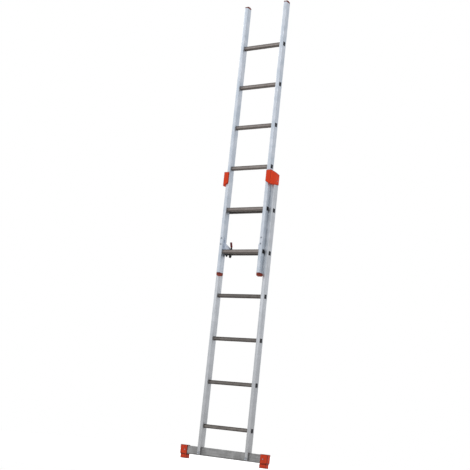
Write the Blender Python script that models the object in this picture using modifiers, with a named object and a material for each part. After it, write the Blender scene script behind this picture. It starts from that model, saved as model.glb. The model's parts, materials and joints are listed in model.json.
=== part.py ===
"""Two-section push-up ladder: a narrow upper section that slides up the front of a wider
lower section, guided at the lower section's top and hooked over one of its rungs.

Units are metres. +Z is up, -Y is the climbing side, and the origin is on the floor, midway
between the two feet and midway through the ladder's depth.
"""
from math import asin, cos, degrees, hypot, pi, radians, sin

import bmesh
import bpy

# ---------------------------------------------------------------- driving dimensions
RUNG_PITCH = 0.280            # rung to rung, the same in both sections
RUNG_COUNT = 6                # rungs in each section
RAISED_PITCHES = 4            # how many rungs the upper section stands raised

STILE_WIDTH = 0.022           # across the ladder
STILE_DEPTH = 0.048           # front to back
STILE_WALL = 0.0018
STILE_CORNER = 0.0030         # outer corner radius

UPPER_WIDTH = 0.329           # over the outer faces of the upper stiles
SECTION_SIDE_PLAY = 0.0035    # between an upper stile and the lower stile beside it
SECTION_PLAY = 0.0025         # from the back of the upper stiles to the lower rungs

UPPER_BELOW_FIRST_RUNG = 0.140
UPPER_ABOVE_LAST_RUNG = 0.290
LOWER_BELOW_FIRST_RUNG = 0.180
LOWER_ABOVE_LAST_RUNG = 0.232

RUNG_HEIGHT = 0.024
RUNG_DEPTH = 0.024
RUNG_WALL = 0.0018
RUNG_CORNER = 0.0022
TREAD_RIBS = 4                # ribs along the rung's top and underside
TREAD_RIB_HEIGHT = 0.0007
FACE_GROOVE_HEIGHT = 0.0132   # one wide groove along the rung's front and back
FACE_GROOVE_DEPTH = 0.0006

BAR_LENGTH = 0.649
BAR_HEIGHT = 0.052
BAR_DEPTH = 0.025
BAR_WALL = 0.0020
BAR_CORNER = 0.0025
BAR_INNER_CORNER = 0.0006
BAR_BEHIND_STILE_FRONT = 0.013
STILE_END_ABOVE_BAR_BOTTOM = 0.0055

FOOT_PAD_HEIGHT = 0.028       # floor to the bar's underside
FOOT_PAD_NECK = 0.004         # the cap reaches this far below the bar
FOOT_PAD_INSET_FRONT = 0.0015
FOOT_PAD_INSET_OUTER = 0.005
FOOT_PAD_INBOARD = 0.0025     # the pad reaches this far inboard of the cap
FOOT_CAP_WALL = 0.003
FOOT_CAP_GRIP = 0.0485        # length of bar inside the cap
FOOT_SCREW_IN = 0.0195        # from the cap's open end
FOOT_EDGE = 0.0012

CAP_RIM = 0.0110              # straight part of an upper stile's foot cap
CAP_DOME = 0.0110             # rounded part below it
TOP_CAP_RIM = 0.0025
TOP_CAP_DOME = 0.0110
CAP_SPIGOT = 0.0180           # part of a cap that plugs the stile
CAP_EDGE = 0.0015

GUIDE_PLAY = 0.0015           # between a guide and the upper stile that runs in it
GUIDE_LIP = 0.0065            # lip across the front of the upper stile
GUIDE_LIP_SHORT_OF_EDGE = 0.0025
GUIDE_FRONT_CORNER = 0.017    # the guide's front corner, outboard of the upper stile
GUIDE_SHELL = 0.0030          # wall outside the lower stile, at its back edge
GUIDE_SHORT_OF_BACK = 0.002
GUIDE_WEB_REACH = 0.021       # web between the two stiles, back from the lower one's front
GUIDE_CAP = 0.0080            # plate over the lower stile's end
GUIDE_TOP_RISE = 0.0160       # the front of the top stands this much above its back
GUIDE_HEIGHT_FRONT = 0.0945   # at the front outer corner
GUIDE_HEIGHT_INNER = 0.0745   # at the lip's inner edge
GUIDE_HEIGHT_BACK = 0.0680    # at the back outer corner
GUIDE_EDGE = 0.0015           # chamfer on the upright edges

HOOK_PLATE = 0.0040
HOOK_INBOARD = 0.0140         # from the stile's inner face to the side plate
HOOK_TONGUE_BACK = 0.022      # tongue's front face behind the stile's front face
HOOK_REST = 0.0050            # upper rungs stand this much above the lower ones when hooked
HOOK_ABOVE_RUNG = 0.0020      # tongue above the lowest upper rung's top
HOOK_TONGUE_TOP = 0.1020      # heights below are above the lowest upper rung's centre
HOOK_PLATE_TOP = 0.0500
HOOK_SHOULDER = 0.0200        # plate above the hooked rung, at its back edge
HOOK_BOLT_HEIGHTS = (0.046, 0.086)
HOOK_MOUTH_PLAY = 0.0015      # each side of the lower rung
HOOK_BEHIND_RUNG = 0.0035     # front prong behind the upper rung's back
HOOK_BACK_PRONG = 0.0140
HOOK_PRONG_BELOW_RUNG = 0.0100
TIP_WALL = 0.0020
TIP_COVER = 0.0120            # length of prong inside a tip
TIP_NOSE = 0.0035             # tip material below the prong

LATCH_THICKNESS = 0.0060
LATCH_SIDE_PLAY = 0.0008          # from the grip to the hook's plate
LATCH_COLLAR_RADIUS = 0.0050      # spaces the lever off the plate
LATCH_PIVOT_BEHIND_RUNG = 0.0100
LATCH_PIVOT_ABOVE_RUNG = 0.0130   # above the hooked rung's top
LATCH_PIN_RADIUS = 0.0025
LATCH_BOSS_RADIUS = 0.0070
LATCH_ARM_WIDTH = 0.0080
LATCH_TAIL_BELOW_RUNG = 0.0040
LATCH_TAIL_THICK = 0.0070
LATCH_TAIL_UNDER_RUNG = 0.0120    # how far the tail reaches under the rung
LATCH_GRIP_LENGTH = 0.0340
LATCH_GRIP_WIDTH = 0.0120
LATCH_GRIP_WALL = 0.0015
LATCH_GRIP_LEAN = radians(20.0)   # arm leans forward of vertical
LATCH_ARM_REACH = 0.0515          # pivot to the end of the arm
LATCH_PIN_HEAD_RADIUS = 0.0045
LATCH_PIN_HEAD_HEIGHT = 0.0020
SPRING_TURNS = 3
SPRING_PITCH = 0.0018             # from one turn to the next
SPRING_WIRE = 0.0006              # wire radius
SPRING_PLAY = 0.0006              # from the coil to the pin
SPRING_LEG = 0.0090

BOLT_SHANK_RADIUS = 0.0030
BOLT_HEAD_RADIUS = 0.0055
BOLT_HEAD_HEIGHT = 0.0025
BOLT_TAIL_RADIUS = 0.0045
BOLT_TAIL_HEIGHT = 0.0020         # formed end behind the stile
BAR_BOLT_SHANK_RADIUS = 0.0040
BAR_BOLT_HEAD_RADIUS = 0.0075
BAR_BOLT_HEAD_HEIGHT = 0.0035
BAR_NUT_RADIUS = 0.0070
BAR_NUT_HEIGHT = 0.0060
BAR_BOLT_PAST_NUT = 0.0007
BAR_BOLT_ABOVE_STILE_END = 0.0110
HEAD_RIM_SHARE = 0.3              # upright edge of a domed head, as a share of its height
SCREW_SHANK_RADIUS = 0.0020
SCREW_HEAD_RADIUS = 0.0038
SCREW_HEAD_HEIGHT = 0.0015
SCREW_LENGTH = 0.0080
GUIDE_SCREW_DROP = 0.0450         # below the guide's top at the back

GAP = 0.0003                  # left between pieces that touch
OVERSHOOT = 0.030             # cutters run this far past what they cut

# ---------------------------------------------------------------- sizes that follow
SECTION_SETBACK = (STILE_DEPTH + RUNG_DEPTH) / 2 + SECTION_PLAY
LOWER_WIDTH = UPPER_WIDTH + 2 * (SECTION_SIDE_PLAY + STILE_WIDTH)
REAR_OF_UPPER_FRONT = (SECTION_SETBACK + STILE_DEPTH + GAP + BAR_NUT_HEIGHT
                       + BAR_BOLT_PAST_NUT)
FRONT_OF_UPPER_FRONT = GUIDE_PLAY + GUIDE_LIP
UPPER_FRONT_Y = (FRONT_OF_UPPER_FRONT - REAR_OF_UPPER_FRONT) / 2
LOWER_FRONT_Y = UPPER_FRONT_Y + SECTION_SETBACK
BAR_FRONT_Y = LOWER_FRONT_Y + BAR_BEHIND_STILE_FRONT
BAR_BOTTOM_Z = FOOT_PAD_HEIGHT
BAR_TOP_Z = BAR_BOTTOM_Z + BAR_HEIGHT
LOWER_END_Z = BAR_BOTTOM_Z + STILE_END_ABOVE_BAR_BOTTOM
LOWER_FIRST_RUNG_Z = LOWER_END_Z + LOWER_BELOW_FIRST_RUNG
UPPER_FIRST_RUNG_Z = LOWER_FIRST_RUNG_Z + RAISED_PITCHES * RUNG_PITCH + HOOK_REST
HOOKED_RUNG_Z = UPPER_FIRST_RUNG_Z - HOOK_REST
RUNG_SPAN = (RUNG_COUNT - 1) * RUNG_PITCH
LOWER_TOP_Z = LOWER_FIRST_RUNG_Z + RUNG_SPAN + LOWER_ABOVE_LAST_RUNG
UPPER_END_Z = UPPER_FIRST_RUNG_Z - UPPER_BELOW_FIRST_RUNG
UPPER_TOP_Z = UPPER_FIRST_RUNG_Z + RUNG_SPAN + UPPER_ABOVE_LAST_RUNG
UPPER_STILE_X = (UPPER_WIDTH - STILE_WIDTH) / 2
LOWER_STILE_X = (LOWER_WIDTH - STILE_WIDTH) / 2
UPPER_RUNG_Y = UPPER_FRONT_Y + STILE_DEPTH / 2
LOWER_RUNG_Y = LOWER_FRONT_Y + STILE_DEPTH / 2
SIDES = (("left", -1), ("right", 1))

# local XY outline to a world plane: extruded up Z, along X, or along Y
FLAT = (0.0, 0.0, 0.0)
ACROSS = (pi / 2, 0.0, pi / 2)        # outline X to +Y, outline Y to +Z, thickness to X
FACING = (pi / 2, 0.0, 0.0)           # outline X to +X, outline Y to +Z, thickness to Y
ALONG_X = (0.0, pi / 2, 0.0)          # a cylinder's axis to X
ALONG_Y = (pi / 2, 0.0, 0.0)          # a cylinder's axis to Y


# ---------------------------------------------------------------- scene and materials
def empty_scene():
    for old in list(bpy.data.objects):
        bpy.data.objects.remove(old, do_unlink=True)


def new_collection(name):
    collection = bpy.data.collections.new(name)
    bpy.context.scene.collection.children.link(collection)
    return collection


def new_material(name, colour, roughness, metallic):
    material = bpy.data.materials.new(name)
    material.use_nodes = True
    shader = material.node_tree.nodes["Principled BSDF"]
    shader.inputs["Base Color"].default_value = (*colour, 1.0)
    shader.inputs["Roughness"].default_value = roughness
    shader.inputs["Metallic"].default_value = metallic
    material.diffuse_color = (*colour, 1.0)
    return material


empty_scene()
PARTS = new_collection("push_up_ladder")
CUTTERS = new_collection("cutters")
ALUMINIUM = new_material("mill_aluminium", (0.62, 0.65, 0.69), 0.38, 1.0)
RUNG_ALUMINIUM = new_material("rung_aluminium", (0.22, 0.19, 0.17), 0.45, 1.0)
ORANGE = new_material("orange_polypropylene", (0.62, 0.06, 0.01), 0.45, 0.0)
RED = new_material("red_nylon", (0.36, 0.02, 0.02), 0.40, 0.0)
BLACK = new_material("black_rubber", (0.015, 0.015, 0.016), 0.60, 0.0)
ZINC = new_material("zinc_plated_steel", (0.55, 0.56, 0.57), 0.35, 1.0)
DARK_STEEL = new_material("blackened_steel", (0.06, 0.06, 0.065), 0.45, 1.0)


# ---------------------------------------------------------------- shape helpers
def rounded_rectangle(width, height, radius, steps=2):
    """Outline points of a rectangle about the origin with rounded corners."""
    points = []
    for corner, (sx, sy) in enumerate(((1, 1), (-1, 1), (-1, -1), (1, -1))):
        for step in range(steps + 1):
            angle = (corner + step / steps) * pi / 2
            points.append((sx * (width / 2 - radius) + radius * cos(angle),
                           sy * (height / 2 - radius) + radius * sin(angle)))
    return points


def softened(points, cut):
    """The same outline with every corner cut back by a short chamfer."""
    result = []
    for index, (x, y) in enumerate(points):
        for near_x, near_y in (points[index - 1], points[(index + 1) % len(points)]):
            share = cut / hypot(near_x - x, near_y - y)
            result.append((x + (near_x - x) * share, y + (near_y - y) * share))
    return result


def to_mesh(curve_object, collection):
    """Replace a curve object by a welded mesh object at the same place."""
    name = curve_object.name
    graph = bpy.context.evaluated_depsgraph_get()
    mesh = bpy.data.meshes.new_from_object(curve_object.evaluated_get(graph))
    solid = bmesh.new()
    solid.from_mesh(mesh)
    bmesh.ops.remove_doubles(solid, verts=solid.verts, dist=1e-6)
    bmesh.ops.recalc_face_normals(solid, faces=solid.faces)
    solid.to_mesh(mesh)
    solid.free()
    matrix = curve_object.matrix_world.copy()
    bpy.data.objects.remove(curve_object, do_unlink=True)
    result = bpy.data.objects.new(name, mesh)
    result.name = name
    result.matrix_world = matrix
    collection.objects.link(result)
    return result


def prism(name, outlines, thickness, centre, turn=FLAT, material=None):
    """A flat outline, with any further outlines as holes, extruded about its centre."""
    curve = bpy.data.curves.new(name + "_outline", "CURVE")
    curve.dimensions = "2D"
    curve.fill_mode = "BOTH"
    curve.extrude = thickness / 2
    for outline in outlines:
        spline = curve.splines.new("POLY")
        spline.points.add(len(outline) - 1)
        for point, (x, y) in zip(spline.points, outline):
            point.co = (x, y, 0.0, 1.0)
        spline.use_cyclic_u = True
    shape = bpy.data.objects.new(name, curve)
    shape.location = centre
    shape.rotation_euler = turn
    collection = PARTS if material else CUTTERS
    collection.objects.link(shape)
    bpy.context.view_layer.update()
    result = to_mesh(shape, collection)
    return dress(result, material)


def block(name, low, high, material=None):
    """A box between two opposite corners."""
    bpy.ops.mesh.primitive_cube_add(size=1.0)
    result = bpy.context.object
    result.name = name
    result.location = [(a + b) / 2 for a, b in zip(low, high)]
    size = [abs(b - a) for a, b in zip(low, high)]
    for vertex in result.data.vertices:
        vertex.co = [c * s for c, s in zip(vertex.co, size)]
    return dress(file_under(result, PARTS if material else CUTTERS), material)


def cylinder(name, radius, length, centre, turn=FLAT, material=None, sides=24):
    bpy.ops.mesh.primitive_cylinder_add(vertices=sides, radius=radius, depth=length,
                                        location=centre, rotation=turn)
    result = bpy.context.object
    result.name = name
    return dress(file_under(result, PARTS if material else CUTTERS), material)


def file_under(thing, collection):
    for holder in list(thing.users_collection):
        holder.objects.unlink(thing)
    collection.objects.link(thing)
    return thing


def dress(thing, material):
    """Give a part its material, or mark a cutter as one."""
    if material:
        thing.data.materials.clear()
        thing.data.materials.append(material)
        thing.data.shade_smooth()
        thing.data.set_sharp_from_angle(angle=radians(35.0))
    else:
        thing.hide_render = True
        thing.display_type = "WIRE"
    return thing


def combine(thing, tool, operation="DIFFERENCE"):
    modifier = thing.modifiers.new(tool.name, "BOOLEAN")
    modifier.operation = operation
    modifier.solver = "EXACT"
    modifier.object = tool
    return attach(tool, thing)


def attach(thing, holder):
    """Parent a thing that has been placed in world space, and return its new parent."""
    thing.parent = holder
    thing.matrix_parent_inverse = holder.matrix_basis.inverted()
    return holder


def bevelled(thing, width, segments=2):
    modifier = thing.modifiers.new("edges", "BEVEL")
    modifier.width = width
    modifier.segments = segments
    modifier.limit_method = "ANGLE"
    modifier.angle_limit = radians(35.0)
    return thing


def mirrored(points, side):
    return [(side * x, y) for x, y in points]


# ---------------------------------------------------------------- stiles and rungs
def rung_outline():
    """Rung section: ribs along the top and underside, one groove along front and back."""
    half_y = RUNG_DEPTH / 2
    half_z = RUNG_HEIGHT / 2
    flat = half_y - RUNG_CORNER
    rib = 2 * flat / (2 * TREAD_RIBS - 1)
    flank = rib / 4
    groove = FACE_GROOVE_HEIGHT / 2
    top = []
    for index in range(TREAD_RIBS):
        start = -flat + 2 * index * rib
        top += [(start, half_z), (start + rib, half_z)]
        if index < TREAD_RIBS - 1:
            top += [(start + rib + flank, half_z - TREAD_RIB_HEIGHT),
                    (start + 2 * rib - flank, half_z - TREAD_RIB_HEIGHT)]
    side_z = half_z - RUNG_CORNER
    back = [(half_y, side_z), (half_y, groove),
            (half_y - FACE_GROOVE_DEPTH, groove - FACE_GROOVE_DEPTH),
            (half_y - FACE_GROOVE_DEPTH, FACE_GROOVE_DEPTH - groove),
            (half_y, -groove), (half_y, -side_z)]
    bottom = [(-y, -z) for y, z in top]
    front = [(-y, -z) for y, z in back]
    return top + back + bottom + front


def rung_hole(name, side, stile_x, rung_y, rung_z):
    outline = rounded_rectangle(RUNG_DEPTH + 2 * GAP, RUNG_HEIGHT + 2 * GAP, RUNG_CORNER / 2)
    place = (side * stile_x, rung_y, rung_z)
    return prism(name, [outline], STILE_WIDTH + 2 * OVERSHOOT, place, ACROSS)


def stile(name, side, stile_x, front_y, low_z, high_z, first_rung_z):
    outer = rounded_rectangle(STILE_WIDTH, STILE_DEPTH, STILE_CORNER)
    inner = rounded_rectangle(STILE_WIDTH - 2 * STILE_WALL, STILE_DEPTH - 2 * STILE_WALL,
                              STILE_CORNER - STILE_WALL)
    centre = (side * stile_x, front_y + STILE_DEPTH / 2, (low_z + high_z) / 2)
    result = prism(name, [outer, inner], high_z - low_z, centre, FLAT, ALUMINIUM)
    for index in range(RUNG_COUNT):
        hole = rung_hole(f"{name}_hole_{index + 1}", side, stile_x,
                         front_y + STILE_DEPTH / 2, first_rung_z + index * RUNG_PITCH)
        combine(result, hole)
    return result


def rung(name, width, rung_y, rung_z):
    inner = rounded_rectangle(RUNG_DEPTH - 2 * RUNG_WALL, RUNG_HEIGHT - 2 * RUNG_WALL,
                              RUNG_CORNER / 2)
    return prism(name, [rung_outline(), inner], width, (0.0, rung_y, rung_z), ACROSS,
                 RUNG_ALUMINIUM)


def notch_for_bar(thing, side):
    """Slot in a lower stile's side walls that straddles the stabiliser bar."""
    low = (side * LOWER_STILE_X - OVERSHOOT, BAR_FRONT_Y - GAP, LOWER_END_Z - OVERSHOOT)
    high = (side * LOWER_STILE_X + OVERSHOOT, BAR_FRONT_Y + BAR_DEPTH + GAP,
            BAR_TOP_Z + GAP)
    combine(thing, block(thing.name + "_bar_slot", low, high))


def bolt_hole(thing, name, radius, place):
    """Hole from front to back, right through a stile or the bar."""
    hole = cylinder(name, radius + GAP, STILE_DEPTH + 2 * OVERSHOOT, place, ALONG_Y)
    combine(thing, hole)


# ---------------------------------------------------------------- end caps
def stile_cap(name, side, end_z, direction, rim, dome):
    """Plug for a stile's open end: spigot inside, a rim and a rounded nose outside."""
    outline = rounded_rectangle(STILE_WIDTH, STILE_DEPTH, STILE_CORNER)
    x = side * UPPER_STILE_X
    height = rim + dome
    start = end_z + direction * GAP
    cap = prism(name, [outline], height, (x, UPPER_RUNG_Y, start + direction * height / 2),
                FLAT, ORANGE)
    nose = []
    half = STILE_DEPTH / 2 + GAP
    steps = 8
    for step in range(steps + 1):
        angle = pi * step / steps
        nose.append((-half * cos(angle), direction * (rim + dome * sin(angle))))
    body = [(half, -direction * height), (-half, -direction * height)]
    keep = prism(name + "_nose", [nose + body], STILE_WIDTH + 2 * OVERSHOOT,
                 (x, UPPER_RUNG_Y, start), ACROSS)
    combine(cap, keep, "INTERSECT")
    bevelled(cap, CAP_EDGE, 1)
    clear = STILE_WALL + GAP
    plug = rounded_rectangle(STILE_WIDTH - 2 * clear, STILE_DEPTH - 2 * clear,
                             STILE_CORNER - STILE_WALL)
    spigot = prism(name + "_spigot", [plug], CAP_SPIGOT + GAP,
                   (x, UPPER_RUNG_Y, start - direction * (CAP_SPIGOT - GAP) / 2), FLAT)
    return combine(cap, spigot, "UNION")


# ---------------------------------------------------------------- stabiliser bar and feet
def stabiliser_bar():
    outer = rounded_rectangle(BAR_DEPTH, BAR_HEIGHT, BAR_CORNER)
    inner = rounded_rectangle(BAR_DEPTH - 2 * BAR_WALL, BAR_HEIGHT - 2 * BAR_WALL,
                              BAR_INNER_CORNER)
    centre = (0.0, BAR_FRONT_Y + BAR_DEPTH / 2, BAR_BOTTOM_Z + BAR_HEIGHT / 2)
    bar = prism("stabiliser_bar", [outer, inner], BAR_LENGTH, centre, ACROSS, ALUMINIUM)
    for word, side in SIDES:
        bolt_hole(bar, f"bar_hole_{word}", BAR_BOLT_SHANK_RADIUS, bar_bolt_place(side))
        screw_hole(bar, f"bar_screw_hole_{word}", foot_screw_place(side), ALONG_Y)
    return bar


def bar_bolt_place(side):
    """Point on the bar bolt's axis, in the middle of its stile."""
    return (side * LOWER_STILE_X, LOWER_RUNG_Y, LOWER_END_Z + BAR_BOLT_ABOVE_STILE_END)


def foot_screw_place(side):
    """Point on the foot's front face where its screw goes in."""
    x = side * (BAR_LENGTH / 2 - FOOT_CAP_GRIP + FOOT_SCREW_IN)
    return (x, BAR_FRONT_Y - GAP - FOOT_CAP_WALL, BAR_BOTTOM_Z + BAR_HEIGHT / 2)


def stabiliser_foot(word, side):
    inner_x = BAR_LENGTH / 2 - FOOT_CAP_GRIP
    outer_x = BAR_LENGTH / 2 + GAP + FOOT_CAP_WALL
    front_y = BAR_FRONT_Y - GAP - FOOT_CAP_WALL
    back_y = BAR_FRONT_Y + BAR_DEPTH + GAP + FOOT_CAP_WALL
    cap = block("stabiliser_foot_" + word,
                (side * inner_x, front_y, BAR_BOTTOM_Z - FOOT_PAD_NECK),
                (side * outer_x, back_y, BAR_TOP_Z + GAP + FOOT_CAP_WALL), ORANGE)
    pad = block("foot_pad_" + word,
                (side * (inner_x - FOOT_PAD_INBOARD), front_y + FOOT_PAD_INSET_FRONT, 0.0),
                (side * (outer_x - FOOT_PAD_INSET_OUTER), back_y - FOOT_PAD_INSET_FRONT,
                 BAR_BOTTOM_Z - FOOT_PAD_NECK + GAP))
    combine(cap, pad, "UNION")
    bevelled(cap, FOOT_EDGE)
    pocket = block("foot_pocket_" + word,
                   (side * (inner_x - FOOT_CAP_GRIP), BAR_FRONT_Y - GAP, BAR_BOTTOM_Z - GAP),
                   (side * (BAR_LENGTH / 2 + GAP), BAR_FRONT_Y + BAR_DEPTH + GAP,
                    BAR_TOP_Z + GAP))
    combine(cap, pocket)
    screw_hole(cap, f"foot_screw_hole_{word}", foot_screw_place(side), ALONG_Y)
    return cap


# ---------------------------------------------------------------- guides on the lower stiles
def stile_guide(word, side):
    """Moulding on a lower stile's end that wraps round the upper stile running past it."""
    upper_outer = UPPER_WIDTH / 2
    upper_inner = upper_outer - STILE_WIDTH
    lower_outer = LOWER_WIDTH / 2
    lower_inner = lower_outer - STILE_WIDTH
    lip_x = upper_inner + GUIDE_LIP_SHORT_OF_EDGE
    lip_front = UPPER_FRONT_Y - GUIDE_PLAY - GUIDE_LIP
    lip_back = UPPER_FRONT_Y - GUIDE_PLAY
    corner_x = upper_outer + GUIDE_FRONT_CORNER
    back_y = LOWER_FRONT_Y + STILE_DEPTH - GUIDE_SHORT_OF_BACK
    shell_x = lower_outer + GUIDE_SHELL
    channel_x = upper_outer + GUIDE_PLAY
    web_y = LOWER_FRONT_Y + GUIDE_WEB_REACH
    plan = [(lip_x, lip_front), (corner_x, lip_front),
            (shell_x, LOWER_FRONT_Y - GUIDE_SHELL), (shell_x, back_y),
            (lower_inner, back_y), (lower_inner, web_y), (channel_x, web_y),
            (channel_x, lip_back), (lip_x, lip_back)]
    back_top = LOWER_TOP_Z + GAP + GUIDE_CAP
    front_top = back_top + GUIDE_TOP_RISE
    low_z = front_top - GUIDE_HEIGHT_FRONT
    name = "stile_guide_" + word
    guide = prism(name, [mirrored(softened(plan, GUIDE_EDGE), side)], front_top - low_z,
                  (0.0, 0.0, (front_top + low_z) / 2), FLAT, ORANGE)
    reach = STILE_DEPTH * 4
    slope = GUIDE_TOP_RISE / (back_y - lip_front)
    over = [(lip_front - reach, front_top + slope * reach),
            (back_y + reach, back_top - slope * reach), (back_y + reach, front_top + reach),
            (lip_front - reach, front_top + reach)]
    wide = LOWER_WIDTH
    combine(guide, prism(name + "_top_cut", [over], wide, (side * lower_outer, 0, 0), ACROSS))
    lip_rise = (GUIDE_HEIGHT_FRONT - GUIDE_HEIGHT_INNER) / (corner_x - lip_x)
    under = [(lip_x - reach, front_top - GUIDE_HEIGHT_INNER + lip_rise * reach),
             (corner_x + reach, low_z - lip_rise * reach), (corner_x + reach, low_z - reach),
             (lip_x - reach, low_z - reach)]
    combine(guide, prism(name + "_lip_cut", [mirrored(under, side)], reach * 2, (0, 0, 0),
                         FACING))
    back_rise = (back_top - GUIDE_HEIGHT_BACK - low_z) / (back_y - lip_front)
    behind = [(lip_front - reach, low_z - back_rise * reach),
              (back_y + reach, back_top - GUIDE_HEIGHT_BACK + back_rise * reach),
              (back_y + reach, low_z - reach), (lip_front - reach, low_z - reach)]
    combine(guide, prism(name + "_back_cut", [behind], wide, (side * lower_outer, 0, 0),
                         ACROSS))
    socket = rounded_rectangle(STILE_WIDTH + 2 * GAP, STILE_DEPTH + 2 * GAP,
                               STILE_CORNER + GAP)
    deep = GUIDE_HEIGHT_FRONT * 2
    combine(guide, prism(name + "_socket", [socket], deep,
                         (side * LOWER_STILE_X, LOWER_RUNG_Y, LOWER_TOP_Z + GAP - deep / 2)))
    place = guide_screw_place(side)
    screw_hole(guide, name + "_screw_hole", place, ALONG_X)
    return guide


def guide_screw_place(side):
    """Point on the guide's outer wall where its screw goes in."""
    return (side * (LOWER_WIDTH / 2 + GUIDE_SHELL), LOWER_RUNG_Y,
            LOWER_TOP_Z + GUIDE_CAP - GUIDE_SCREW_DROP)


# ---------------------------------------------------------------- fasteners
def screw_hole(thing, name, place, turn):
    combine(thing, cylinder(name, SCREW_SHANK_RADIUS + GAP, 2 * SCREW_LENGTH, place, turn,
                            sides=16))


def turned(name, profile, sides, material):
    """Turn a profile of (radius, height) about Z. It runs from the top down to the bottom."""
    mesh = bpy.data.meshes.new(name)
    mesh.from_pydata([(r, 0.0, z) for r, z in profile],
                     [(i, i + 1) for i in range(len(profile) - 1)], [])
    result = bpy.data.objects.new(name, mesh)
    screw = result.modifiers.new("turn", "SCREW")
    screw.axis = "Z"
    screw.angle = 2 * pi
    screw.steps = sides
    screw.render_steps = sides
    screw.use_merge_vertices = True
    screw.merge_threshold = 0.00001
    PARTS.objects.link(result)
    return dress(result, material)


def fastener(name, material, place, turn, head_radius, head_height, shank_radius, length,
             tail_radius=0.0, tail_height=0.0, sides=12):
    """A domed head, a shank and an optional nut or formed tail, turned in one piece.

    The head's underside is at place, and the shank runs down the piece's own -Z.
    """
    steps = 3
    profile = []
    for step in range(steps + 1):
        angle = pi / 2 * step / steps
        rise = HEAD_RIM_SHARE + (1 - HEAD_RIM_SHARE) * cos(angle)
        profile.append((head_radius * sin(angle), head_height * rise))
    profile += [(head_radius, 0.0), (shank_radius, 0.0), (shank_radius, -length)]
    if tail_radius > 0.0:
        profile += [(tail_radius, -length), (tail_radius, -length - tail_height)]
    profile.append((0.0, profile[-1][1]))
    result = turned(name, profile, sides, material)
    result.location = place
    result.rotation_euler = turn
    return result


HEAD_TO_FRONT = (pi / 2, 0.0, 0.0)            # own +Z to -Y
HEAD_OUTWARD = {-1: (0.0, -pi / 2, 0.0), 1: (0.0, pi / 2, 0.0)}


# ---------------------------------------------------------------- hooks and latches
def tongue_ends():
    """Heights of the tongue's lower and upper edges above the floor."""
    return (UPPER_FIRST_RUNG_Z + RUNG_HEIGHT / 2 + HOOK_ABOVE_RUNG,
            UPPER_FIRST_RUNG_Z + HOOK_TONGUE_TOP)


def mouth_and_prong_ends():
    """Heights of the mouth's top and of the prongs' lower ends above the floor."""
    mouth_top = HOOKED_RUNG_Z + RUNG_HEIGHT / 2 + GAP
    prong_low = HOOKED_RUNG_Z - RUNG_HEIGHT / 2 - HOOK_PRONG_BELOW_RUNG
    return mouth_top, prong_low


def prong_depths():
    """Front and back edges of both prongs, either side of the lower rung."""
    upper_rung_back = UPPER_RUNG_Y + RUNG_DEPTH / 2
    rung_front = LOWER_RUNG_Y - RUNG_DEPTH / 2
    rung_back = LOWER_RUNG_Y + RUNG_DEPTH / 2
    front = (upper_rung_back + HOOK_BEHIND_RUNG, rung_front - HOOK_MOUTH_PLAY)
    back = (rung_back + HOOK_MOUTH_PLAY, rung_back + HOOK_MOUTH_PLAY + HOOK_BACK_PRONG)
    return front, back


def hook(word, side):
    """Bent steel plate: a tongue bolted inside the stile and a fork over the lower rung."""
    inner_face = UPPER_WIDTH / 2 - STILE_WIDTH
    plate_outer = inner_face - HOOK_INBOARD
    plate_inner = plate_outer - HOOK_PLATE
    tongue_end = UPPER_WIDTH / 2 - STILE_WALL - GAP
    low, top = tongue_ends()
    plate_top = UPPER_FIRST_RUNG_Z + HOOK_PLATE_TOP
    tongue_y = UPPER_FRONT_Y + HOOK_TONGUE_BACK
    name = "rung_hook_" + word
    face = [(plate_inner, low), (tongue_end, low), (tongue_end, top), (inner_face, top),
            (plate_outer, plate_top), (plate_inner, plate_top)]
    tongue = prism(name, [mirrored(face, side)], HOOK_PLATE,
                   (0.0, tongue_y + HOOK_PLATE / 2, 0.0), FACING, ZINC)
    mouth_top, prong_low = mouth_and_prong_ends()
    front, back = prong_depths()
    slope_start = tongue_y + HOOK_PLATE
    shoulder = mouth_top + HOOK_SHOULDER
    side_plate = [(tongue_y, low), (front[0], low), (front[0], prong_low),
                  (front[1], prong_low), (front[1], mouth_top), (back[0], mouth_top),
                  (back[0], prong_low), (back[1], prong_low), (back[1], shoulder),
                  (slope_start, plate_top), (tongue_y, plate_top)]
    plate_x = side * (plate_outer + plate_inner) / 2
    fork = prism(name + "_fork", [side_plate], HOOK_PLATE, (plate_x, 0.0, 0.0), ACROSS)
    combine(tongue, fork, "UNION")
    hook_bolt_holes(tongue, side)
    pivot = latch_pivot(side)
    combine(tongue, cylinder(name + "_pin_hole", LATCH_PIN_RADIUS + GAP, HOOK_PLATE * 4,
                             (plate_x, pivot[1], pivot[2]), ALONG_X))
    return tongue


def hook_slot_and_holes(thing, side):
    """Slot for the hook's tongue and holes for its two bolts, in an upper stile."""
    inner_face = side * (UPPER_WIDTH / 2 - STILE_WIDTH)
    tongue_low, tongue_top = tongue_ends()
    low = (inner_face - STILE_WALL * 2, UPPER_FRONT_Y + HOOK_TONGUE_BACK - GAP,
           tongue_low - GAP)
    high = (inner_face + STILE_WALL * 2,
            UPPER_FRONT_Y + HOOK_TONGUE_BACK + HOOK_PLATE + GAP, tongue_top + GAP)
    combine(thing, block(thing.name + "_hook_slot", low, high))
    hook_bolt_holes(thing, side)


def hook_bolt_holes(thing, side):
    for index, height in enumerate(HOOK_BOLT_HEIGHTS):
        bolt_hole(thing, f"{thing.name}_bolt_hole_{index + 1}", BOLT_SHANK_RADIUS,
                  (side * UPPER_STILE_X, UPPER_RUNG_Y, UPPER_FIRST_RUNG_Z + height))


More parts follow.
